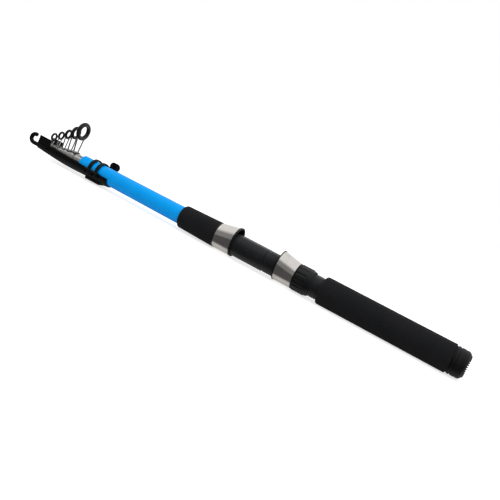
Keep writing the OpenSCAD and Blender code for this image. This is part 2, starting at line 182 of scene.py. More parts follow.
class Graph:
    """Node tree of one finish, of the floor or of the world."""

    lines = Grain(1.0, 4.0)

    def __init__(self, tree: bpy.types.NodeTree) -> None:
        """Empties the tree and keeps it."""
        self.tree = tree
        tree.nodes.clear()

    def node(
        self, kind: str, inputs: Optional[Mapping[Any, Any]] = None, **settings: Any
    ) -> bpy.types.Node:
        """Adds a node.

        Args:
            kind: The node's type.
            inputs: Numbers, colours, values or sockets by socket name or index.
            settings: The node's own settings, set before its sockets.

        Returns:
            The node.
        """
        made = self.tree.nodes.new(kind)
        for key, setting in settings.items():
            setattr(made, key, setting)
        for key, given in (inputs or {}).items():
            if isinstance(given, Value):
                self.tree.links.new(given.socket, made.inputs[key])
            elif isinstance(given, Socket):
                self.tree.links.new(given, made.inputs[key])
            else:
                made.inputs[key].default_value = given
        return made

    def math(self, operation: str, *terms: Term) -> Value:
        """Adds one Math node.

        Args:
            operation: Name of the node's operation.
            terms: Its inputs, as values or numbers.

        Returns:
            The node's output.
        """
        made = self.node("ShaderNodeMath", dict(enumerate(terms)), operation=operation)
        return Value(self, made.outputs[0])

    def ray(self, kind: str) -> Value:
        """1 for rays of a kind, named as the Light Path node names it, else 0."""
        return Value(self, self.node("ShaderNodeLightPath").outputs[kind])

    def place(self, space: str = "Object") -> Socket:
        """Coordinates of the surface, in metres for an object."""
        return self.node("ShaderNodeTexCoord").outputs[space]

    def axes(self, vector: Socket) -> tuple[Value, Value, Value]:
        """The three parts of a vector."""
        made = self.node("ShaderNodeSeparateXYZ", {0: vector})
        return tuple(Value(self, made.outputs[i]) for i in range(3))

    def vector(self, x: Term, y: Term, z: Term) -> Socket:
        """A vector from three values."""
        return self.node("ShaderNodeCombineXYZ", {0: x, 1: y, 2: z}).outputs[0]

    def around(self) -> tuple[Value, Value, Value]:
        """Place round the rod axis.

        Returns:
            Distance along the axis in metres, turn about it in radians, and radius in metres.
        """
        x, y, z = self.axes(self.place())
        return x, self.math("ARCTAN2", y, z), (y * y + z * z).root()

    def noise(self, vector: Socket, grain: Grain) -> Value:
        """Noise between 0 and 1.

        Args:
            vector: Where it is read.
            grain: Its pattern.

        Returns:
            The noise.
        """
        inputs = {"Vector": vector, "Scale": grain.scale, "Detail": grain.detail}
        return Value(self, self.node("ShaderNodeTexNoise", inputs).outputs[0])

    def brushed(self, waves: Triple) -> Value:
        """Fine lines round the rod axis, as brushing leaves them.

        Args:
            waves: Lines per metre along the axis, per radian round it and per metre outward.

        Returns:
            Noise between 0 and 1.
        """
        parts = [part * count for part, count in zip(self.around(), waves)]
        return self.noise(self.vector(*parts), self.lines)

    def cells(self, vector: Socket, scale: float) -> Value:
        """Distance to the nearest cell centre, as a share of a cell, for cells per metre."""
        made = self.node("ShaderNodeTexVoronoi", {"Vector": vector, "Scale": scale})
        return Value(self, made.outputs["Distance"])

    def mix(self, share: Term, low: Any, high: Any) -> Socket:
        """Mixes two colours.

        Args:
            share: Share of the second colour.
            low: First colour or socket.
            high: Second colour or socket.

        Returns:
            The mixed colour.
        """
        low, high = ((*c, 1.0) if isinstance(c, tuple) else c for c in (low, high))
        made = self.node("ShaderNodeMix", {0: share, 6: low, 7: high}, data_type="RGBA")
        return made.outputs[2]

    def bump(self, height: Value, distance: float, strength: float, edge: float = 0.0) -> Socket:
        """Bump from a height.

        Args:
            height: Height between 0 and 1.
            distance: What a height of 1 stands for, in metres.
            strength: Share of the effect.
            edge: Radius by which sharp edges look softened, in metres, or 0 for none.

        Returns:
            The bumped normal.
        """
        inputs = {"Height": height, "Distance": distance, "Strength": strength}
        if edge:
            soft = self.node("ShaderNodeBevel", {"Radius": edge}, samples=BEVEL_SAMPLES)
            inputs["Normal"] = soft.outputs[0]
        return self.node("ShaderNodeBump", inputs).outputs[0]

    def glow(self, strength: Term) -> Socket:
        """White light of some strength."""
        return self.node("ShaderNodeEmission", {"Color": WHITE, "Strength": strength}).outputs[0]

    def surface(self, inputs: Mapping[str, Any]) -> None:
        """Ends a finish with one Principled shader.

        Args:
            inputs: Its sockets by name.
        """
        shader = self.node("ShaderNodeBsdfPrincipled", inputs)
        self.node("ShaderNodeOutputMaterial", {"Surface": shader.outputs[0]})


@dataclass(frozen=True)
class Finish:
    """A finish that paints one material.

    In the finishes, gloss is the least roughness, shine the strength of plain reflections, depth
    the height of the relief and edge the radius by which edges look softened, both in metres.
    A Grain is a pattern, and a Span the values at which an effect starts and is full.
    """

    name: str
    colour: Colour

    def material(self) -> bpy.types.Material:
        """The material of this finish, painted when it is first asked for."""
        found = bpy.data.materials.get("finish_" + self.name)
        if found is None:
            found = bpy.data.materials.new("finish_" + self.name)
            found.use_nodes = True
            self.paint(Graph(found.node_tree))
        return found

    def paint(self, g: Graph) -> None:
        """Adds the nodes of the finish."""
        raise NotImplementedError

    def shade(self, share: float) -> Colour:
        """The finish's colour, lighter or darker by a share."""
        return tuple(min(1.0, part * share) for part in self.colour)


@dataclass(frozen=True)
class Foam(Finish):
    """Matt closed-cell foam with a skin of small open cells."""

    cell: float = 0.45 * MM
    pit: Span = (0.05, 0.5)
    fine: Grain = Grain(5200.0, 3.0)
    cloud: Grain = Grain(90.0, 3.0)
    rubbed: Span = (0.4, 0.75)
    depth: float = 0.09 * MM

    def paint(self, g: Graph) -> None:
        """Adds the nodes of the finish."""
        place = g.place()
        walls = g.cells(place, 1.0 / self.cell).step(*self.pit)
        fine = g.noise(place, self.fine)
        cloud = g.noise(place, self.cloud)
        rubbed = (cloud * 0.25 + fine * 0.8).step(*self.rubbed)
        g.surface({
            "Base Color": g.mix(rubbed, self.shade(0.85), self.shade(1.45)),
            "Roughness": 0.78 + 0.18 * fine,
            "Specular IOR Level": 0.12,
            "Sheen Weight": 0.02,
            "Sheen Roughness": 0.6,
            "Normal": g.bump(fine * 0.45 + walls * 0.55, self.depth, strength=0.9),
        })


@dataclass(frozen=True)
class Rubber(Finish):
    """Soft black rubber, a little dusty in its hollows."""

    gloss: float = 0.55
    grain: Grain = Grain(3600.0, 4.0)
    cloud: Grain = Grain(160.0, 4.0)
    dusty: Span = (0.5, 0.85)
    depth: float = 0.035 * MM

    def paint(self, g: Graph) -> None:
        """Adds the nodes of the finish."""
        place = g.place()
        grain = g.noise(place, self.grain)
        cloud = g.noise(place, self.cloud)
        dust = (cloud * 0.7 + grain * 0.4).step(*self.dusty)
        g.surface({
            "Base Color": g.mix(dust, self.shade(0.8), self.shade(2.1)),
            "Roughness": self.gloss + 0.2 * cloud,
            "Specular IOR Level": 0.2,
            "Normal": g.bump(grain * 0.7 + cloud * 0.3, self.depth, strength=0.7),
        })


@dataclass(frozen=True)
class Moulded(Finish):
    """Moulded plastic with a fine spark-eroded grain and softened edges."""

    gloss: float = 0.35
    grain: Grain = Grain(2600.0, 3.0)
    flow: Grain = Grain(70.0, 4.0)
    scratch: Grain = Grain(420.0, 6.0)
    scuffed: Span = (0.58, 0.72)
    depth: float = 0.02 * MM
    edge: float = 0.18 * MM
    shine: float = 0.26

    def paint(self, g: Graph) -> None:
        """Adds the nodes of the finish."""
        place = g.place()
        grain = g.noise(place, self.grain)
        flow = g.noise(place, self.flow)
        scuff = (g.noise(place, self.scratch) * 0.8 + flow * 0.3).step(*self.scuffed)
        melt = g.mix(flow, self.shade(0.8), self.shade(1.25))
        g.surface({
            "Base Color": g.mix(scuff * 0.6, melt, self.shade(1.9)),
            "Roughness": self.gloss + 0.16 * flow + 0.12 * scuff,
            "Specular IOR Level": self.shine,
            "Normal": g.bump(grain, self.depth, strength=0.6, edge=self.edge),
        })


@dataclass(frozen=True)
class Lacquer(Finish):
    """Lacquered tube over wound fibre, with a clear coat and a bare end at its mouth.

    Attributes:
        wrap: Pitch of the wound fibre, in metres.
        outer: Outer radius of the tube at its thick end, in metres.
        skin: Thickness of the paint, in metres.
        start: Place along the axis from which the tube gets thinner, in metres.
        fall: How much the radius falls in one metre from there.
        blur: Half width of the edge between paint and fibre, in metres.
        hairs: Stretch of the hairlines per metre along and per radian round the axis.
    """

    fibre: Colour = (0.03, 0.03, 0.032)
    metal: float = 0.0
    gloss: float = 0.3
    coat: float = 0.5
    shine: float = 0.3
    wrap: float = 3.2 * MM
    outer: float = 8.8 * MM
    skin: float = 0.3 * MM
    start: float = 0.0
    fall: float = 0.0
    blur: float = 0.02 * MM
    peel: Grain = Grain(900.0, 2.0)
    cloud: Grain = Grain(55.0, 3.0)
    hair: Grain = Grain(6.0, 6.0)
    hairs: Span = (60.0, 14.0)
    lined: Span = (0.62, 0.7)
    depth: float = 0.012 * MM

    def paint(self, g: Graph) -> None:
        """Adds the nodes of the finish."""
        place = g.place()
        x, turn, radius = g.around()
        lap = ((x / self.wrap) * FULL_TURN + turn).sine()
        peel = g.noise(place, self.peel)
        cloud = g.noise(place, self.cloud)
        along, round_it = self.hairs
        hair = g.noise(g.vector(x * along, turn * round_it, 0.0), self.hair).step(*self.lined)
        limit = self.outer - self.skin - (self.start - x).larger(0.0) * self.fall
        bare = 1.0 - (radius - limit).step(-self.blur, self.blur)
        paint = g.mix(cloud, self.shade(0.92), self.shade(1.06))
        worn = g.mix(hair * 0.12, paint, self.shade(1.5))
        g.surface({
            "Base Color": g.mix(bare, worn, self.fibre),
            "Metallic": self.metal * (1.0 - bare),
            "Roughness": self.gloss + 0.08 * peel + 0.1 * hair + 0.3 * bare,
            "Specular IOR Level": self.shine,
            "Coat Weight": self.coat * (1.0 - bare),
            "Coat Roughness": 0.12,
            "Normal": g.bump(lap * 0.35 + peel * 0.4, self.depth, strength=0.6),
        })


@dataclass(frozen=True)
class Steel(Finish):
    """Bright sheet steel, polished round its axis, with faint marks of the wheel."""

    gloss: float = 0.12
    brush: Triple = (5200.0, 2.2, 40.0)
    cloud: Grain = Grain(140.0, 4.0)
    smeared: Span = (0.45, 0.8)
    depth: float = 0.003 * MM
    edge: float = 0.12 * MM

    def paint(self, g: Graph) -> None:
        """Adds the nodes of the finish."""
        brush = g.brushed(self.brush)
        smear = (g.noise(g.place(), self.cloud) * 0.8 + brush * 0.3).step(*self.smeared)
        g.surface({
            "Base Color": g.mix(smear, self.colour, self.shade(0.88)),
            "Metallic": 1.0,
            "Roughness": self.gloss + 0.06 * brush + 0.06 * smear,
            "Normal": g.bump(brush, self.depth, strength=0.5, edge=self.edge),
        })


@dataclass(frozen=True)
class Wire(Finish):
    """Drawn steel wire, bright with dull spots."""

    gloss: float = 0.22
    spot: Grain = Grain(1500.0, 3.0)
    dulled: Span = (0.5, 0.75)
    drawn: Grain = Grain(7000.0, 2.0)
    depth: float = 0.006 * MM

    def paint(self, g: Graph) -> None:
        """Adds the nodes of the finish."""
        place = g.place()
        dull = g.noise(place, self.spot).step(*self.dulled)
        drawn = g.noise(place, self.drawn)
        g.surface({
            "Base Color": g.mix(dull, self.colour, self.shade(0.8)),
            "Metallic": 1.0,
            "Roughness": self.gloss + 0.14 * dull + 0.06 * drawn,
            "Normal": g.bump(drawn, self.depth, strength=0.4),
        })


@dataclass(frozen=True)
class Collar(Finish):
    """Satin metal collar with dark resin run over the feet of its guide.

    Attributes:
        spread: Turn from the guides' side at which the resin ends, in radians.
        ragged: How far that edge wanders, in radians.
        blur: Half width of that edge, in radians.
    """

    resin: Colour = (0.007, 0.007, 0.0075)
    gloss: float = 0.24
    spread: float = 0.85
    ragged: float = 0.7
    blur: float = 0.08
    flow: Grain = Grain(420.0, 3.0)
    brush: Triple = (5200.0, 2.0, 40.0)
    depth: float = 0.12 * MM

    def paint(self, g: Graph) -> None:
        """Adds the nodes of the finish."""
        _, turn, _ = g.around()
        flow = g.noise(g.place(), self.flow)
        brush = g.brushed(self.brush)
        edge = abs(turn) + (flow - 0.5) * self.ragged
        covered = 1.0 - edge.step(self.spread - self.blur, self.spread + self.blur)
        satin = g.mix(brush, self.shade(0.75), self.shade(1.2))
        g.surface({
            "Base Color": g.mix(covered, satin, self.resin),
            "Metallic": 1.0 - covered,
            "Roughness": self.gloss + 0.14 * brush + 0.06 * flow,
            "Specular IOR Level": 0.35,
            "Coat Weight": 0.3 * covered,
            "Coat Roughness": 0.1,
            "Normal": g.bump(covered * 0.8 + flow * 0.2, self.depth, strength=0.6),
        })


@dataclass(frozen=True)
class HardRing(Finish):
    """Black ring, ground smooth, with a polished inner face for the line.

    Attributes:
        middle: The ring's middle, in metres.
        radius: Radius of the middle of its bar, in metres.
        polished: Where the polish starts to end and has ended, as shares of that radius.
    """

    middle: Triple = (0.0, 0.0, 0.0)
    radius: float = 7.9 * MM
    polished: Span = (0.9, 0.98)
    gloss: float = 0.34
    grind: Grain = Grain(3300.0, 3.0)
    cloud: Grain = Grain(380.0, 3.0)
    depth: float = 0.014 * MM

    def paint(self, g: Graph) -> None:
        """Adds the nodes of the finish."""
        place = g.place()
        _, y, z = g.axes(place)
        dy, dz = y - self.middle[1], z - self.middle[2]
        out = (dy * dy + dz * dz).root()
        inner = 1.0 - (out / self.radius).step(*self.polished)
        grind = g.noise(place, self.grind)
        cloud = g.noise(place, self.cloud)
        ground = g.mix(cloud, self.shade(0.8), self.shade(1.7))
        g.surface({
            "Base Color": g.mix(inner, ground, self.shade(1.4)),
            "Roughness": self.gloss - 0.2 * inner + 0.14 * cloud,
            "Specular IOR Level": 0.3,
            "Normal": g.bump(grind * (1.0 - inner), self.depth, strength=0.6),
        })


@dataclass(frozen=True)
class Card(Finish):
    """Wound paper bushing with visible turns."""

    wrap: float = 1.5 * MM
    pulp: Grain = Grain(1800.0, 4.0)
    depth: float = 0.05 * MM

    def paint(self, g: Graph) -> None:
        """Adds the nodes of the finish."""
        x, turn, _ = g.around()
        ply = ((x / self.wrap) * FULL_TURN + turn).sine() * 0.5 + 0.5
        pulp = g.noise(g.place(), self.pulp)
        g.surface({
            "Base Color": g.mix(ply * 0.4 + pulp * 0.5, self.shade(0.75), self.shade(1.15)),
            "Roughness": 0.85 + 0.1 * pulp,
            "Normal": g.bump(pulp * 0.6 + ply * 0.4, self.depth, strength=0.7),
        })


class Workpiece:
    """A mesh in the making, turned and cut round the rod axis."""

    def __init__(self, name: str) -> None:
        """Starts an empty mesh.

        Args:
            name: Name of the finished piece.
        """
        self.name = name
        self.bm = bmesh.new()

    def outline(
        self, profile: Sequence[Span]
    ) -> tuple[list[bmesh.types.BMVert], list[bmesh.types.BMEdge]]:
        """Adds a closed outline on the guides' side and gives its vertices and edges."""
        verts = [self.bm.verts.new(at(s, 0.0, r)) for s, r in profile]
        edges = [self.bm.edges.new(pair) for pair in zip(verts, verts[1:] + verts[:1])]
        return verts, edges

    def turn(
        self, profile: Sequence[Span], steps: int, arc: float = 360.0, from_angle: float = 0.0
    ) -> list[bmesh.types.BMFace]:
        """Turns a closed profile about the rod axis.

        Args:
            profile: Points of the outline as distance from the butt end and radius, in mm.
            steps: Steps of the whole sweep.
            arc: Angle of the sweep in degrees.
            from_angle: Angle from the guides' side at which it starts, in degrees.

        Returns:
            The faces that were made.
        """
        bm = self.bm
        before = set(bm.faces)
        verts, edges = self.outline(profile)
        start = Matrix.Rotation(math.radians(from_angle), 3, "X")
        bmesh.ops.rotate(bm, verts=verts, cent=CENTRE, matrix=start)
        bmesh.ops.spin(
            bm, geom=verts + edges, cent=CENTRE, axis=AXIS, dvec=(0, 0, 0),
            angle=math.radians(arc), steps=steps, use_merge=math.isclose(arc, 360.0),
            use_duplicate=False,
        )
        return [f for f in bm.faces if f not in before]

    def coil(self, profile: Sequence[Span], pitch: float, turns: float, steps: int) -> None:
        """Sweeps a small closed profile along a screw line round the rod axis.

        Args:
            profile: Points of the ridge as distance from the butt end and radius, in mm.
            pitch: Way along the rod in one turn, in mm.
            turns: How many turns it makes.
            steps: Steps in one turn.
        """
        bm = self.bm
        verts, edges = self.outline(profile)
        bm.faces.new(verts)
        made = bmesh.ops.spin(
            bm, geom=verts + edges, cent=CENTRE, axis=AXIS, dvec=(-pitch * MM / steps, 0, 0),
            angle=FULL_TURN * turns, steps=int(steps * turns), use_merge=False,
            use_duplicate=False,
        )
        last = [e for e in made["geom_last"] if isinstance(e, bmesh.types.BMEdge)]
        bmesh.ops.contextual_create(bm, geom=last)

    def soften(self, angle: float, width: float, segments: int) -> None:
        """Rounds every edge that is sharper than an angle.

        Args:
            angle: Smallest turn between two faces, in degrees.
            width: Width of the rounding, in mm.
            segments: Steps of the rounding.
        """
        limit = math.radians(angle)
        sharp = [
            e for e in self.bm.edges
            if len(e.link_faces) == 2 and e.calc_face_angle(0.0) > limit
        ]
        self.round(sharp, width, segments)

    def round(self, edges: Sequence[bmesh.types.BMEdge], width: float, segments: int) -> None:
        """Rounds some edges.

        Args:
            edges: The edges.
            width: Width of the rounding, in mm.
            segments: Steps of the rounding.
        """
        bmesh.ops.bevel(
            self.bm, geom=list(edges), offset=width * MM, offset_type="OFFSET",
            segments=segments, profile=0.5, affect="EDGES", material=-1, clamp_overlap=True,
        )

    def ring_edges(self, s: float, r: float) -> list[bmesh.types.BMEdge]:
        """Edges of a circle round the rod axis.

        Args:
            s: Distance from the butt end, in mm.
            r: Radius, in mm.

        Returns:
            Edges whose two ends lie on that circle.
        """
        def on_circle(vert: bmesh.types.BMVert) -> bool:
            """Whether a vertex lies on the circle."""
            along, far = where(vert)
            return abs(along - s) < SAME_PLACE and abs(far - r) < SAME_PLACE

        return [e for e in self.bm.edges if all(on_circle(v) for v in e.verts)]

    def block(self, low: Vector, high: Vector) -> None:
        """Adds a block between two corners, in metres."""
        size = high - low
        place = Matrix.Translation((low + high) / 2) @ Matrix.Diagonal((*size, 1.0))
        bmesh.ops.create_cube(self.bm, size=1.0, matrix=place)

    def barrel(self, start: Vector, end: Vector, radius: float, steps: int) -> None:
        """Adds a round bar between two points.

        Args:
            start: Middle of one end, in metres.
            end: Middle of the other end.
            radius: Its radius in metres.
            steps: Sides of the bar.
        """
        along = end - start
        turned = along.to_track_quat("Z", "Y").to_matrix().to_4x4()
        place = Matrix.Translation((start + end) / 2) @ turned
        bmesh.ops.create_cone(
            self.bm, cap_ends=True, segments=steps, radius1=radius, radius2=radius,
            depth=along.length, matrix=place,
        )

    def finished(
        self, body: str, finish: Finish, edge: Edge = Edge.CRISP
    ) -> bpy.types.Object:
        """Makes the object and lets it ride on its body.

        Args:
            body: CAD body that carries the piece.
            finish: Its finish.
            edge: Which edges stay sharp.

        Returns:
            The object.
        """
        bm = self.bm
        bmesh.ops.remove_doubles(bm, verts=bm.verts[:], dist=MERGE)
        bmesh.ops.recalc_face_normals(bm, faces=bm.faces[:])
        mesh = bpy.data.meshes.new(self.name)
        bm.to_mesh(mesh)
        bm.free()
        mesh.polygons.foreach_set("use_smooth", [True] * len(mesh.polygons))
        mesh.set_sharp_from_angle(angle=math.radians(edge.value))
        mesh.materials.append(finish.material())
        made = linked(self.name, mesh)
        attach(made, body)
        LOG.info("%s rides on %s with %d faces", self.name, body, len(mesh.polygons))
        return made


def dress(finish: Finish, *nodes: str) -> None:
    """Gives CAD nodes a finish.

    Args:
        finish: The finish.
        nodes: Names of the nodes.
    """
    for name in nodes:
        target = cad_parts[name]
        target.data.materials.clear()
        target.data.materials.append(finish.material())
        LOG.info("%s dressed in %s", name, finish.name)


@dataclass
class Grips:
    """The two foam grips. Lengths are in mm.

    Attributes:
        rear: Ends of the rear grip along the rod.
        fore: Ends of the foregrip.
        fore_r: Its radius at these ends.
        front_edge: Width of the rounding at the front end.
        skin: Height over the bore from which the foam is uneven.
        uneven: Depth of its hollows.
        waves: Slow and quick waves of the hollows per metre.
    """

    rear: Span = (13.8, 133.8)
    rear_r: float = 13.0
    fore: Span = (243.8, 284.3)
    fore_r: Span = (12.2, 11.2)
    bore: float = 8.8
    front_edge: float = 2.4
    rear_edge: float = 0.5
    sides: int = 112
    spacing: float = 2.0
    skin: float = 1.0
    uneven: float = 0.07
    waves: Span = (140.0, 420.0)
    quick: float = 0.6
    finish: Foam = Foam("grip_foam", (0.0096, 0.0099, 0.011))

    def sleeve(self, name: str, ends: Span, radii: Span) -> bpy.types.Object:
        """Turns one foam sleeve with rounded edges and a slightly uneven skin.

        Args:
            name: Name of the piece.
            ends: Its two ends along the rod, in mm.
            radii: Its radius at these ends, in mm.

        Returns:
            The sleeve.
        """
        (s0, s1), (r0, r1) = ends, radii
        work = Workpiece(name)
        work.turn([(s0, self.bore), (s0, r0), (s1, r1), (s1, self.bore)], self.sides)
        work.round(work.ring_edges(s1, r1), self.front_edge, segments=6)
        work.round(work.ring_edges(s0, r0), self.rear_edge, segments=3)
        half = 0.5 * (s1 - s0) * MM
        long_edges = [
            e for e in work.bm.edges if abs(e.verts[0].co.x - e.verts[1].co.x) > half
        ]
        cuts = int((s1 - s0) / self.spacing)
        bmesh.ops.subdivide_edges(work.bm, edges=long_edges, cuts=cuts, use_grid_fill=True)
        slow, quick = self.waves
        for v in work.bm.verts:
            out = Vector((0.0, v.co.y, v.co.z))
            if out.length > (self.bore + self.skin) * MM:
                swell = noise.noise(v.co * slow) + self.quick * noise.noise(v.co * quick)
                v.co -= out.normalized() * (0.5 + 0.5 * swell) * self.uneven * MM
        made = work.finished("handle", self.finish, Edge.SOFT)
        return made

    def build(self) -> None:
        """Makes both grips in place of their CAD solids."""
        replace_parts(self.sleeve("rear_grip_foam", self.rear, (self.rear_r, self.rear_r)), "rear_grip")
        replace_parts(self.sleeve("foregrip_foam", self.fore, self.fore_r), "foregrip")


@dataclass
class ButtEnd:
    """The rubber butt cap with its toothed rim, and what it closes. Lengths are in mm.

    Attributes:
        front: The cap's end at the grip.
        floor: Where the socket ends.
        slope: How far the sloping end draws in.
        rim: Inner and outer edge of the rim, from where the slope ends.
        lean: How far a tooth's top draws in.
        per_tooth: Faces of the rim for one tooth and one gap.
    """

    radius: float = 12.3
    front: float = 13.6
    bore: float = 8.9
    floor: float = 9.8
    slope: float = 3.2
    rim: Span = (-0.6, 1.0)
    teeth: int = 30
    tooth: float = 0.9
    lean: float = 0.8
    per_tooth: int = 4
    rubber: Rubber = Rubber("cap_rubber", (0.006, 0.0062, 0.006), gloss=0.4)
    seal: Rubber = Rubber("seal_rubber", (0.02, 0.019, 0.018), gloss=0.35)
    core: Moulded = Moulded("plug_plastic", (0.09, 0.09, 0.095), gloss=0.4)

    def cap(self) -> bpy.types.Object:
        """Turns the cap and raises its teeth.

        Returns:
            The cap.
        """
        r, f, t = self.radius, self.front, self.tooth
        rim_in, rim_out = (r - self.slope + over for over in self.rim)
        ring = [
            (f, self.bore), (f, r - 0.5), (f - 0.8, r - 0.5), (f - 1.4, r + 0.1),
            (f - 2.8, r + 0.1), (f - 3.2, r - 0.5), (f - 3.8, r - 0.5), (f - 4.2, r),
        ]
        wall = [
            (6.0, r - 0.03), (5.7, r - 0.28), (5.2, r - 0.28), (4.9, r - 0.05),
            (3.6, r - 0.1), (2.9, r - 0.32), (2.2, r - 0.75),
        ]
        end = [
            (t, rim_out), (t, rim_in), (1.3, rim_in - 0.4), (1.3, 6.2), (1.9, 5.8),
            (1.9, 2.4), (1.5, 2.0), (1.5, 0.0),
        ]
        socket = [(self.floor, 0.0), (self.floor, self.bore)]
        work = Workpiece("butt_cap_rubber")
        work.turn(ring + wall + end + socket, self.teeth * self.per_tooth)
        rim = [
            face for face in work.bm.faces
            if all(abs(where(v)[0] - t) < SAME_PLACE for v in face.verts)
        ]
        middles = {face: face.calc_center_median() for face in rim}
        rim.sort(key=lambda face: math.atan2(middles[face].y, middles[face].z))
        for i in range(0, len(rim), self.per_tooth):
            self.raise_tooth(work.bm, rim[i:i + self.per_tooth // 2], rim_out)
        work.soften(angle=40.0, width=0.12, segments=2)
        return work.finished("cap", self.rubber)

    def raise_tooth(
        self, bm: bmesh.types.BMesh, faces: list[bmesh.types.BMFace], rim_out: float
    ) -> None:
        """Raises one tooth from the rim.

        Args:
            bm: The cap in the making.
            faces: Faces of the rim that the tooth stands on.
            rim_out: Outer radius of the rim, in mm.
        """
        grown = bmesh.ops.extrude_face_region(bm, geom=faces)
        tops = [v for v in grown["geom"] if isinstance(v, bmesh.types.BMVert)]
        bmesh.ops.translate(bm, verts=tops, vec=(self.tooth * MM, 0, 0))
        for v in tops:
            far = where(v)[1]
            if far > rim_out - SAME_PLACE:
                v.co.yz = v.co.yz * ((rim_out - self.lean) / far)
        bmesh.ops.delete(bm, geom=faces, context="FACES_ONLY")

    def build(self) -> None:
        """Makes the cap and dresses the pieces inside it."""
        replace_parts(self.cap(), "butt_cap")
        dress(self.core, "butt_plug", "butt_ferrule")
        dress(self.seal, "cap_seal")


@dataclass
class ReelSeat:
    """Seat tube with its thread, the two hoods and the locking nut. Lengths are in mm.

    Attributes:
        ends: Ends of the seat tube along the rod.
        thread: Ends of the threaded half.
        run_out: Way from the root to the plain half.
        ridge: Ridge of the thread, as way along the rod and height over the root.
        flat: Height of the flat over the axis.
        flute_from: Way from the nut's rear end at which the flutes start.
        flute_over: Height over the nut's bore from which they are pressed in.
        flute_width: Width of a flute, as a share of their spacing.
        per_flute: Faces round the nut for one flute.
    """

    ends: Span = (133.8, 243.8)
    bore: float = 9.3
    radius: float = 10.8
    root: float = 10.1
    thread: Span = (134.2, 190.2)
    run_out: float = 0.6
    pitch: float = 2.0
    ridge: tuple[Span, ...] = (
        (0.0, -0.2), (0.0, 0.0), (0.7, 0.45), (0.85, 0.5),
        (1.15, 0.5), (1.3, 0.45), (2.0, 0.0), (2.0, -0.2),
    )
    flat: float = 9.8
    nut: Span = (143.4, 158.2)
    nut_bore: float = 11.1
    nut_r: float = 12.4
    flutes: int = 14
    flute_from: float = 4.5
    flute_over: float = 0.3
    flute_depth: float = 0.5
    flute_width: float = 0.42
    per_flute: int = 16
    plastic: Moulded = Moulded(
        "seat_plastic", (0.0095, 0.01, 0.0112), gloss=0.3, grain=Grain(1800.0, 3.0),
        depth=0.01 * MM,
    )
    nut_plastic: Moulded = Moulded(
        "nut_plastic", (0.0055, 0.0058, 0.0064), gloss=0.3, grain=Grain(2400.0, 3.0),
        depth=0.012 * MM,
    )
    steel: Steel = Steel("polished_steel", (0.66, 0.63, 0.6))
    lining: Moulded = Moulded("lining_plastic", (0.006, 0.006, 0.0065), gloss=0.42)
    card: Card = Card("bushing_card", (0.42, 0.3, 0.18))

    def tube(self) -> bpy.types.Object:
        """Turns the tube, winds its thread and cuts its flat.

        Returns:
            The tube.
        """
        (rear, front), (a, b) = self.ends, self.thread
        work = Workpiece("seat_tube_threaded")
        work.turn([
            (rear, self.bore), (rear, self.root), (b, self.root),
            (b + self.run_out, self.radius), (front, self.radius), (front, self.bore),
        ], steps=96)
        ridge = [(a + along, self.root + high) for along, high in self.ridge]
        work.coil(ridge, self.pitch, turns=(b - a) / self.pitch - 1.0, steps=72)
        cut = bmesh.ops.bisect_plane(
            work.bm, geom=work.bm.verts[:] + work.bm.edges[:] + work.bm.faces[:], dist=MERGE,
            plane_co=(0, 0, self.flat * MM), plane_no=(0, 0, 1), clear_outer=True,
        )
        rims = [
            e for e in cut["geom_cut"] if isinstance(e, bmesh.types.BMEdge) and e.is_boundary
        ]
        bmesh.ops.holes_fill(work.bm, edges=rims, sides=0)
        return work.finished("handle", self.plastic)

    def locking_nut(self) -> bpy.types.Object:
        """Turns the nut and presses its flutes.

        Returns:
            The nut.
        """
        (a, b), r = self.nut, self.nut_r
        work = Workpiece("locking_nut_fluted")
        work.turn([
            (a, self.nut_bore), (a, r - 1.0), (a + 2.2, r - 0.55), (a + 2.6, r - 0.3),
            (a + 3.2, r), (a + 4.2, r), (a + 4.8, r), (b - 0.6, r), (b, r - 0.5),
            (b, self.nut_bore),
        ], steps=self.flutes * self.per_flute)
        for v in work.bm.verts:
            s, far = where(v)
            if s > a + self.flute_from and far > self.nut_bore + self.flute_over:
                turn = math.atan2(v.co.y, v.co.z) * self.flutes / FULL_TURN
                across = abs(turn - math.floor(turn) - 0.5) * 2.0
                dip = self.flute_depth * max(0.0, 1.0 - (across / self.flute_width) ** 2)
                share = min(1.0, (far - self.nut_bore) / (r - self.nut_bore))
                v.co.yz = v.co.yz * (1.0 - dip * share / far)
        work.soften(angle=40.0, width=0.15, segments=2)
        return work.finished("nut", self.nut_plastic)

    def build(self) -> None:
        """Makes the tube and the nut, and dresses the hoods."""
        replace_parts(self.tube(), "reel_seat_tube")
        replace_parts(self.locking_nut(), "locking_nut")
        dress(self.steel, "fixed_hood", "moving_hood")
        dress(self.lining, "fixed_hood_liner", "moving_hood_liner", "seat_check", "slip_washer")
        dress(self.card, "seat_arbors")


@dataclass
class Blank:
    """The blue butt section and the grey sections inside it."""

    sections: int = 6
    blue: Lacquer = Lacquer(
        "blue_lacquer", (0.0, 0.375, 1.0), gloss=0.34, coat=0.03, shine=0.1,
        start=(ORIGIN - 284.3) * MM, fall=0.6 / 126.0,
    )
    grey: Lacquer = Lacquer(
        "grey_lacquer", (0.58, 0.565, 0.555), metal=0.95, gloss=0.16, coat=0.2,
        wrap=2.0 * MM, outer=0.0, skin=0.0,
    )

    def build(self) -> None:
        """Dresses the sections."""
        dress(self.blue, "butt_section")
        dress(self.grey, *[f"section_{k}" for k in range(2, self.sections + 1)])


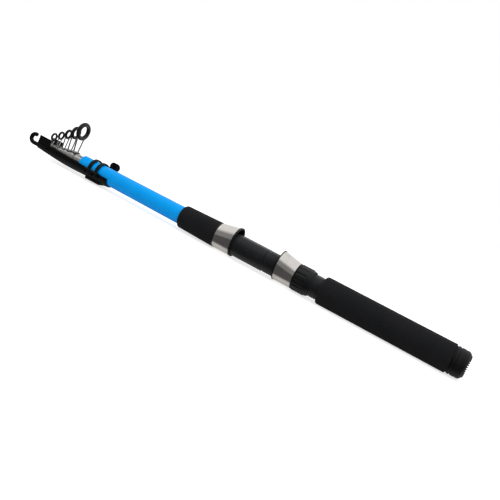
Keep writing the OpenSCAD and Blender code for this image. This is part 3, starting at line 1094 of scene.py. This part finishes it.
@dataclass
class Guides:
    """Line guides: collars, wire frames and rings, from the largest. Lengths are in mm.

    Attributes:
        tip_s: Front end of each collar along the rod.
        heights: Height of the first and the last ring's middle over the axis.
        rings: Outer diameter of the first and the last ring.
        bars: Thickness of the first and the last ring.
    """

    tip_s: tuple[float, ...] = (428.0, 435.9, 443.8, 451.7, 459.6)
    collar: float = 7.0
    heights: Span = (29.0, 10.2)
    rings: Span = (19.0, 9.0)
    ring_curve: float = 2.6
    bars: Span = (4.4, 2.2)
    bar_curve: float = 2.0
    black: Colour = (0.006, 0.006, 0.0063)
    metal: Collar = Collar("collar_grey", (0.6, 0.59, 0.585))
    wire: Wire = Wire("steel_wire", (0.58, 0.57, 0.56))

    def hard_ring(self, i: int) -> HardRing:
        """Finish of one ring, set round its own middle.

        Args:
            i: Place of the ring, from the largest.

        Returns:
            The finish.
        """
        share = i / (len(self.tip_s) - 1)
        height = self.heights[0] + (self.heights[1] - self.heights[0]) * share
        wide = (self.rings[0] - self.rings[1]) * (1.0 - share) ** self.ring_curve
        thick = (self.bars[0] - self.bars[1]) * (1.0 - share) ** self.bar_curve
        radius = (self.rings[1] + wide) / 2.0 - (self.bars[1] + thick) / 2.0
        middle = at(self.tip_s[i] - self.collar / 2.0, 0.0, height)
        return HardRing(f"ring_black_{i + 2}", self.black, tuple(middle), radius * MM)

    def build(self) -> None:
        """Dresses collars, frames and rings."""
        numbers = range(2, 1 + len(self.tip_s))
        dress(self.metal, *[f"collar_{k}" for k in numbers], "tip_sleeve")
        dress(self.wire, *[f"guide_frame_{k}" for k in numbers], "tip_frame")
        for i, node in enumerate([*[f"guide_ring_{k}" for k in numbers], "tip_ring"]):
            dress(self.hard_ring(i), node)


@dataclass
class TipCover:
    """Trough over the guides, held by a rubber strap. Lengths are in mm.

    Attributes:
        inner: Outer radius of what the bands lie on.
        play: Their room over it.
        crown: How much higher a band is in its middle.
        sweep: Angle at which a band starts and angle that it sweeps, in degrees.
        pin: Place of the pin, to the far side and up.
        leg_y: Inner face of the plate on the stud.
        leg_z: Lower and upper end of that plate.
        bridge_y: Way from that radius to the bridge's inner face.
        bridge_z: Lower and upper end of the bridge from the plate to the bands and the tab.
        tab: Rear and front middle of the tab's round ends along the rod, and its height.
        tab_y: Way from that radius to the tab's inner face.
        tab_lap: How far the bridge to the tab runs into the plate.
    """

    inner: float = 8.833
    bands: Span = (386.5, 395.5)
    band_w: float = 3.6
    play: float = 0.02
    crown: float = 0.06
    sweep: Span = (98.0, -172.0)
    strap_t: float = 1.4
    pin: Span = (-10.433, -1.6)
    knuckle: float = 1.5
    leg_y: float = 10.333
    leg_z: Span = (-3.6, 4.0)
    bridge_y: float = 0.4
    bridge_z: Span = (2.6, 7.6)
    tab: Triple = (379.2, 383.2, 9.8)
    tab_y: float = 0.9
    tab_r: float = 4.0
    tab_lap: float = 2.0
    plastic: Moulded = Moulded(
        "cover_plastic", (0.0042, 0.0042, 0.0045), gloss=0.42, grain=Grain(1500.0, 3.0),
        depth=0.03 * MM, edge=0.25 * MM, shine=0.12,
    )
    rubber: Rubber = Rubber("strap_rubber", (0.0055, 0.0055, 0.0057), gloss=0.5)
    steel: Wire = Wire("pin_wire", (0.5, 0.49, 0.48))

    def band(self, work: Workpiece, s: float) -> None:
        """Adds one band over the blue tube and its loop round the pin.

        Args:
            work: The strap in the making.
            s: Place of the band along the rod, in mm.
        """
        rear, front = s - self.band_w / 2.0, s + self.band_w / 2.0
        low, high = self.inner + self.play, self.inner + self.strap_t
        start, arc = self.sweep
        faces = work.turn(
            [(rear, low), (rear, high), (s, high + self.crown), (front, high), (front, low)],
            steps=64, arc=arc, from_angle=start,
        )
        verts = {v for f in faces for v in f.verts}
        ends = [e for e in work.bm.edges if e.is_boundary and all(v in verts for v in e.verts)]
        bmesh.ops.holes_fill(work.bm, edges=ends, sides=0)
        work.barrel(at(rear, *self.pin), at(front, *self.pin), self.knuckle * MM, steps=40)

    def strap(self) -> bpy.types.Object:
        """Makes the strap: two bands, the plate on the stud and the pull tab.

        Returns:
            The strap.
        """
        work = Workpiece("cover_strap_rubber")
        for s in self.bands:
            self.band(work, s)
        s0 = self.bands[0] - self.band_w / 2.0
        s1 = self.bands[1] + self.band_w / 2.0
        y0, y1 = self.leg_y, self.leg_y + self.strap_t
        t0, t1 = self.inner + self.tab_y, self.inner + self.tab_y + self.strap_t
        a, b, tab_z = self.tab
        (leg_low, leg_high), (low, high) = self.leg_z, self.bridge_z
        work.block(at(s1, y0, leg_low), at(s0, y1, leg_high))
        work.block(at(s1, self.inner + self.bridge_y, low), at(s0, y1, high))
        work.block(at(s0 + self.tab_lap, t0, low), at(a, t1, high))
        work.block(at(b, t0, tab_z - self.tab_r), at(a, t1, tab_z + self.tab_r))
        for s in (a, b):
            work.barrel(at(s, t0, tab_z), at(s, t1, tab_z), self.tab_r * MM, steps=72)
        work.soften(angle=50.0, width=0.28, segments=3)
        return work.finished("strap", self.rubber)

    def build(self) -> None:
        """Makes the strap and dresses the cover."""
        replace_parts(self.strap(), "cover_strap")
        dress(self.plastic, "tip_cover", "strap_stud")
        dress(self.steel, "strap_pin")


@dataclass(frozen=True)
class Lamp:
    """A soft lamp that reflections don't show.

    Attributes:
        place: Where it hangs, in metres.
        aim: Where it points, in metres.
        size: Width and height of its face, in metres.
        power: Its power in watts.
    """

    name: str
    place: Triple
    aim: Triple
    size: Span
    power: float

    def build(self) -> None:
        """Hangs the lamp."""
        data = bpy.data.lights.new(self.name, "AREA")
        data.shape = "RECTANGLE"
        data.size, data.size_y = self.size
        data.energy = self.power
        made = linked(self.name, data)
        toward = (Vector(self.aim) - Vector(self.place)).to_track_quat("-Z", "Y")
        made.matrix_world = Matrix.Translation(self.place) @ toward.to_matrix().to_4x4()
        made.visible_glossy = False


@dataclass
class Studio:
    """Pale floor, soft light and the camera. Lengths are in metres.

    Attributes:
        lift: Glow of the floor to the eye.
        dim: How much less it glows in reflections.
        dusk: Way to the near side at which the dusky floor in reflections starts and is full.
        viewer: Where the dim zone at the viewer starts and is full, as a direction's near part.
        viewer_top: Where that zone starts to end and has ended, as a direction's upward part.
        shade: How much darker that zone is in reflections.
    """

    floor_z: float = -13.0 * MM
    floor_size: float = 30.0
    floor_grey: float = 0.75
    lens: float = 43.2
    sensor: float = 36.0
    clip: Span = (0.01, 100.0)
    eye: Triple = (0.0387, -0.5095, 0.0964)
    right: Triple = (0.8372, 0.3633, 0.4086)
    up: Triple = (-0.4437, 0.0148, 0.8961)
    back: Triple = (0.3195, -0.9315, 0.1736)
    sky: float = 0.5
    lift: float = 0.7
    dim: float = 0.35
    dusk: Span = (0.009, 0.016)
    dusk_glow: float = 0.1
    viewer: Span = (0.0, 0.4)
    viewer_top: Span = (0.5, 0.8)
    shade: float = 0.72
    lamps: tuple[Lamp, ...] = (
        Lamp("top_light", (-0.15, -0.1, 0.8), (-0.15, 0.0, 0.0), (1.0, 0.6), 3.9),
        Lamp("front_light", (0.2, -0.9, 0.5), (-0.1, 0.0, 0.0), (0.6, 0.4), 1.0),
    )

    def camera(self) -> None:
        """Sets the camera at the photograph's angle."""
        data = bpy.data.cameras.new("camera")
        data.lens, data.sensor_width = self.lens, self.sensor
        data.clip_start, data.clip_end = self.clip
        made = linked("camera", data)
        axes = Matrix((self.right, self.up, self.back)).transposed().to_quaternion()
        made.matrix_world = Matrix.Translation(self.eye) @ axes.to_matrix().to_4x4()
        bpy.context.scene.camera = made

    def floor(self) -> None:
        """Lays the floor under the object."""
        work = bmesh.new()
        place = Matrix.Translation((0, 0, self.floor_z))
        bmesh.ops.create_grid(
            work, x_segments=1, y_segments=1, size=self.floor_size, matrix=place
        )
        mesh = bpy.data.meshes.new("floor")
        work.to_mesh(mesh)
        work.free()
        made = linked("floor", mesh)
        paint = bpy.data.materials.new("floor_white")
        paint.use_nodes = True
        self.paint_floor(Graph(paint.node_tree))
        mesh.materials.append(paint)

    def paint_floor(self, g: Graph) -> None:
        """Paints the floor white to the eye, with the shadow, and dusky in near reflections."""
        _, y, _ = g.axes(g.place())
        glossy = g.ray("Is Glossy Ray")
        grey = (self.floor_grey, self.floor_grey, self.floor_grey, 1.0)
        matt = g.node("ShaderNodeBsdfDiffuse", {"Color": grey})
        glow = g.glow(self.seen(g) * self.lift - glossy * self.dim)
        both = g.node("ShaderNodeAddShader", {0: matt.outputs[0], 1: glow})
        shown = g.node("ShaderNodeMixShader", {
            0: glossy * (-y).step(*self.dusk), 1: both.outputs[0], 2: g.glow(self.dusk_glow),
        })
        g.node("ShaderNodeOutputMaterial", {"Surface": shown.outputs[0]})

    def seen(self, g: Graph) -> Value:
        """1 for rays from the camera, a reflection or a transmission, else 0."""
        seen = g.ray("Is Camera Ray").larger(g.ray("Is Glossy Ray"))
        return seen.larger(g.ray("Is Transmission Ray"))

    def surround(self) -> None:
        """Lights the world: white to the eye, soft on the object, dim where the viewer is."""
        world = bpy.data.worlds.new("studio")
        bpy.context.scene.world = world
        world.use_nodes = True
        g = Graph(world.node_tree)
        _, y, z = g.axes(g.place("Generated"))
        viewer = (-y).step(*self.viewer) * (1.0 - z.step(*self.viewer_top))
        dimmed = g.ray("Is Glossy Ray") * viewer * self.shade
        strength = self.sky + self.seen(g) * (1.0 - self.sky) - dimmed
        glow = g.node("ShaderNodeBackground", {"Color": WHITE, "Strength": strength})
        g.node("ShaderNodeOutputWorld", {"Surface": glow.outputs[0]})

    def build(self) -> None:
        """Sets the camera, the floor and the light."""
        bpy.context.scene.view_settings.view_transform = "Standard"
        self.camera()
        self.floor()
        self.surround()
        for lamp in self.lamps:
            lamp.build()


def main() -> None:
    """Sets the studio, then builds and dresses the rod."""
    logging.basicConfig(level=logging.INFO, format="%(name)s: %(message)s")
    Studio().build()
    for assembly in (Grips(), ButtEnd(), ReelSeat(), Blank(), Guides(), TipCover()):
        assembly.build()


if __name__ == "__main__":
    main()
